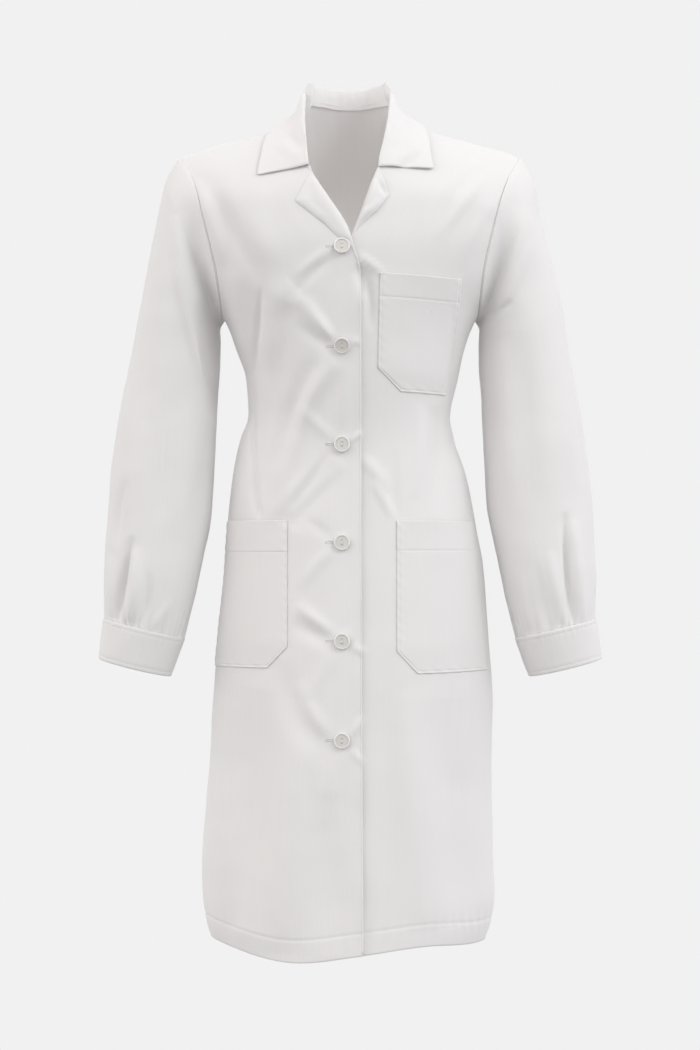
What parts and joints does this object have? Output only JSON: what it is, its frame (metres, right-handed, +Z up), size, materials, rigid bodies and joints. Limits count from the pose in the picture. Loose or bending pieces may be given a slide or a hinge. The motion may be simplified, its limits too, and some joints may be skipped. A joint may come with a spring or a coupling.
{
  "type": "lab coat",
  "caption": "White knee-length lab coat with notched lapels, buttoned front, buttoned cuffs, a chest pocket and two hip pockets, filled out as if worn.",
  "frame": {"origin": "middle of the neck opening, level with the side of the neck, where a mannequin's neck or a hanger carries the coat", "axes": "+Z up, -Y towards the wearer's front, +X towards the wearer's left"},
  "size_m": [0.5826, 0.2845, 1.0014],
  "materials": {
    "cloth": "matt white polyester-cotton twill, plain woven look, softly creased",
    "interlining": "matt white fusible canvas, hidden inside the collar and the cuffs",
    "button": "satin white moulded polyester with a turned rim",
    "thread": "white spun polyester sewing thread"
  },
  "bodies": {
    "coat": {"back_panel": "cloth", "right_front": "cloth", "left_front": "cloth", "right_front_facing": "cloth", "left_front_facing": "cloth", "under_collar": "cloth", "collar_interlining": "interlining", "upper_collar": "cloth", "chest_pocket": "cloth", "right_hip_pocket": "cloth", "left_hip_pocket": "cloth", "front_buttonholes": "thread"},
    "left_sleeve": {"left_sleeve": "cloth", "left_sleeve_placket": "cloth", "left_cuff": "cloth", "left_cuff_interlining": "interlining", "left_cuff_buttonhole": "thread"},
    "right_sleeve": {"right_sleeve": "cloth", "right_sleeve_placket": "cloth", "right_cuff": "cloth", "right_cuff_interlining": "interlining", "right_cuff_buttonhole": "thread"},
    "front_button_1": {"front_button_1": "button", "front_thread_1": "thread"},
    "front_button_2": {"front_button_2": "button", "front_thread_2": "thread"},
    "front_button_3": {"front_button_3": "button", "front_thread_3": "thread"},
    "front_button_4": {"front_button_4": "button", "front_thread_4": "thread"},
    "front_button_5": {"front_button_5": "button", "front_thread_5": "thread"},
    "front_button_6": {"front_button_6": "button", "front_thread_6": "thread"},
    "left_cuff_button": {"left_cuff_button": "button", "left_cuff_thread": "thread"},
    "right_cuff_button": {"right_cuff_button": "button", "right_cuff_thread": "thread"}
  },
  "joints": [
    {"name": "left_sleeve_lift", "type": "hinge", "parent": "coat", "child": "left_sleeve", "pos_m": [0.199, 0, -0.062], "axis": [0, -1, 0], "range_deg": [0, 50]},
    {"name": "right_sleeve_lift", "type": "hinge", "parent": "coat", "child": "right_sleeve", "pos_m": [-0.199, 0, -0.062], "axis": [0, 1, 0], "range_deg": [0, 50]},
    {"name": "front_button_1_twist", "type": "hinge", "parent": "coat", "child": "front_button_1", "pos_m": [-0.009, -0.12373, -0.178], "axis": [-0.0239, -0.9628, 0.269], "range_deg": [-30, 30], "stiffness_Nm_per_rad": 0.00002},
    {"name": "front_button_2_twist", "type": "hinge", "parent": "coat", "child": "front_button_2", "pos_m": [-0.009, -0.11822, -0.2885], "axis": [-0.0454, -0.9658, -0.2552], "range_deg": [-30, 30], "stiffness_Nm_per_rad": 0.00002},
    {"name": "front_button_3_twist", "type": "hinge", "parent": "coat", "child": "front_button_3", "pos_m": [-0.009, -0.10855, -0.399], "axis": [-0.0496, -0.9958, 0.0769], "range_deg": [-30, 30], "stiffness_Nm_per_rad": 0.00002},
    {"name": "front_button_4_twist", "type": "hinge", "parent": "coat", "child": "front_button_4", "pos_m": [-0.009, -0.11751, -0.5095], "axis": [-0.0436, -0.9949, 0.0913], "range_deg": [-30, 30], "stiffness_Nm_per_rad": 0.00002},
    {"name": "front_button_5_twist", "type": "hinge", "parent": "coat", "child": "front_button_5", "pos_m": [-0.009, -0.12704, -0.62], "axis": [-0.0415, -0.9973, 0.061], "range_deg": [-30, 30], "stiffness_Nm_per_rad": 0.00002},
    {"name": "front_button_6_twist", "type": "hinge", "parent": "coat", "child": "front_button_6", "pos_m": [-0.009, -0.13379, -0.7305], "axis": [-0.0407, -0.9973, 0.061], "range_deg": [-30, 30], "stiffness_Nm_per_rad": 0.00002},
    {"name": "left_cuff_button_twist", "type": "hinge", "parent": "left_sleeve", "child": "left_cuff_button", "pos_m": [0.25836, 0.01379, -0.62754], "axis": [0.3028, 0.9529, -0.0172], "range_deg": [-30, 30], "stiffness_Nm_per_rad": 0.00002},
    {"name": "right_cuff_button_twist", "type": "hinge", "parent": "right_sleeve", "child": "right_cuff_button", "pos_m": [-0.25836, 0.01379, -0.62754], "axis": [-0.3028, 0.9529, -0.0172], "range_deg": [-30, 30], "stiffness_Nm_per_rad": 0.00002}
  ]
}
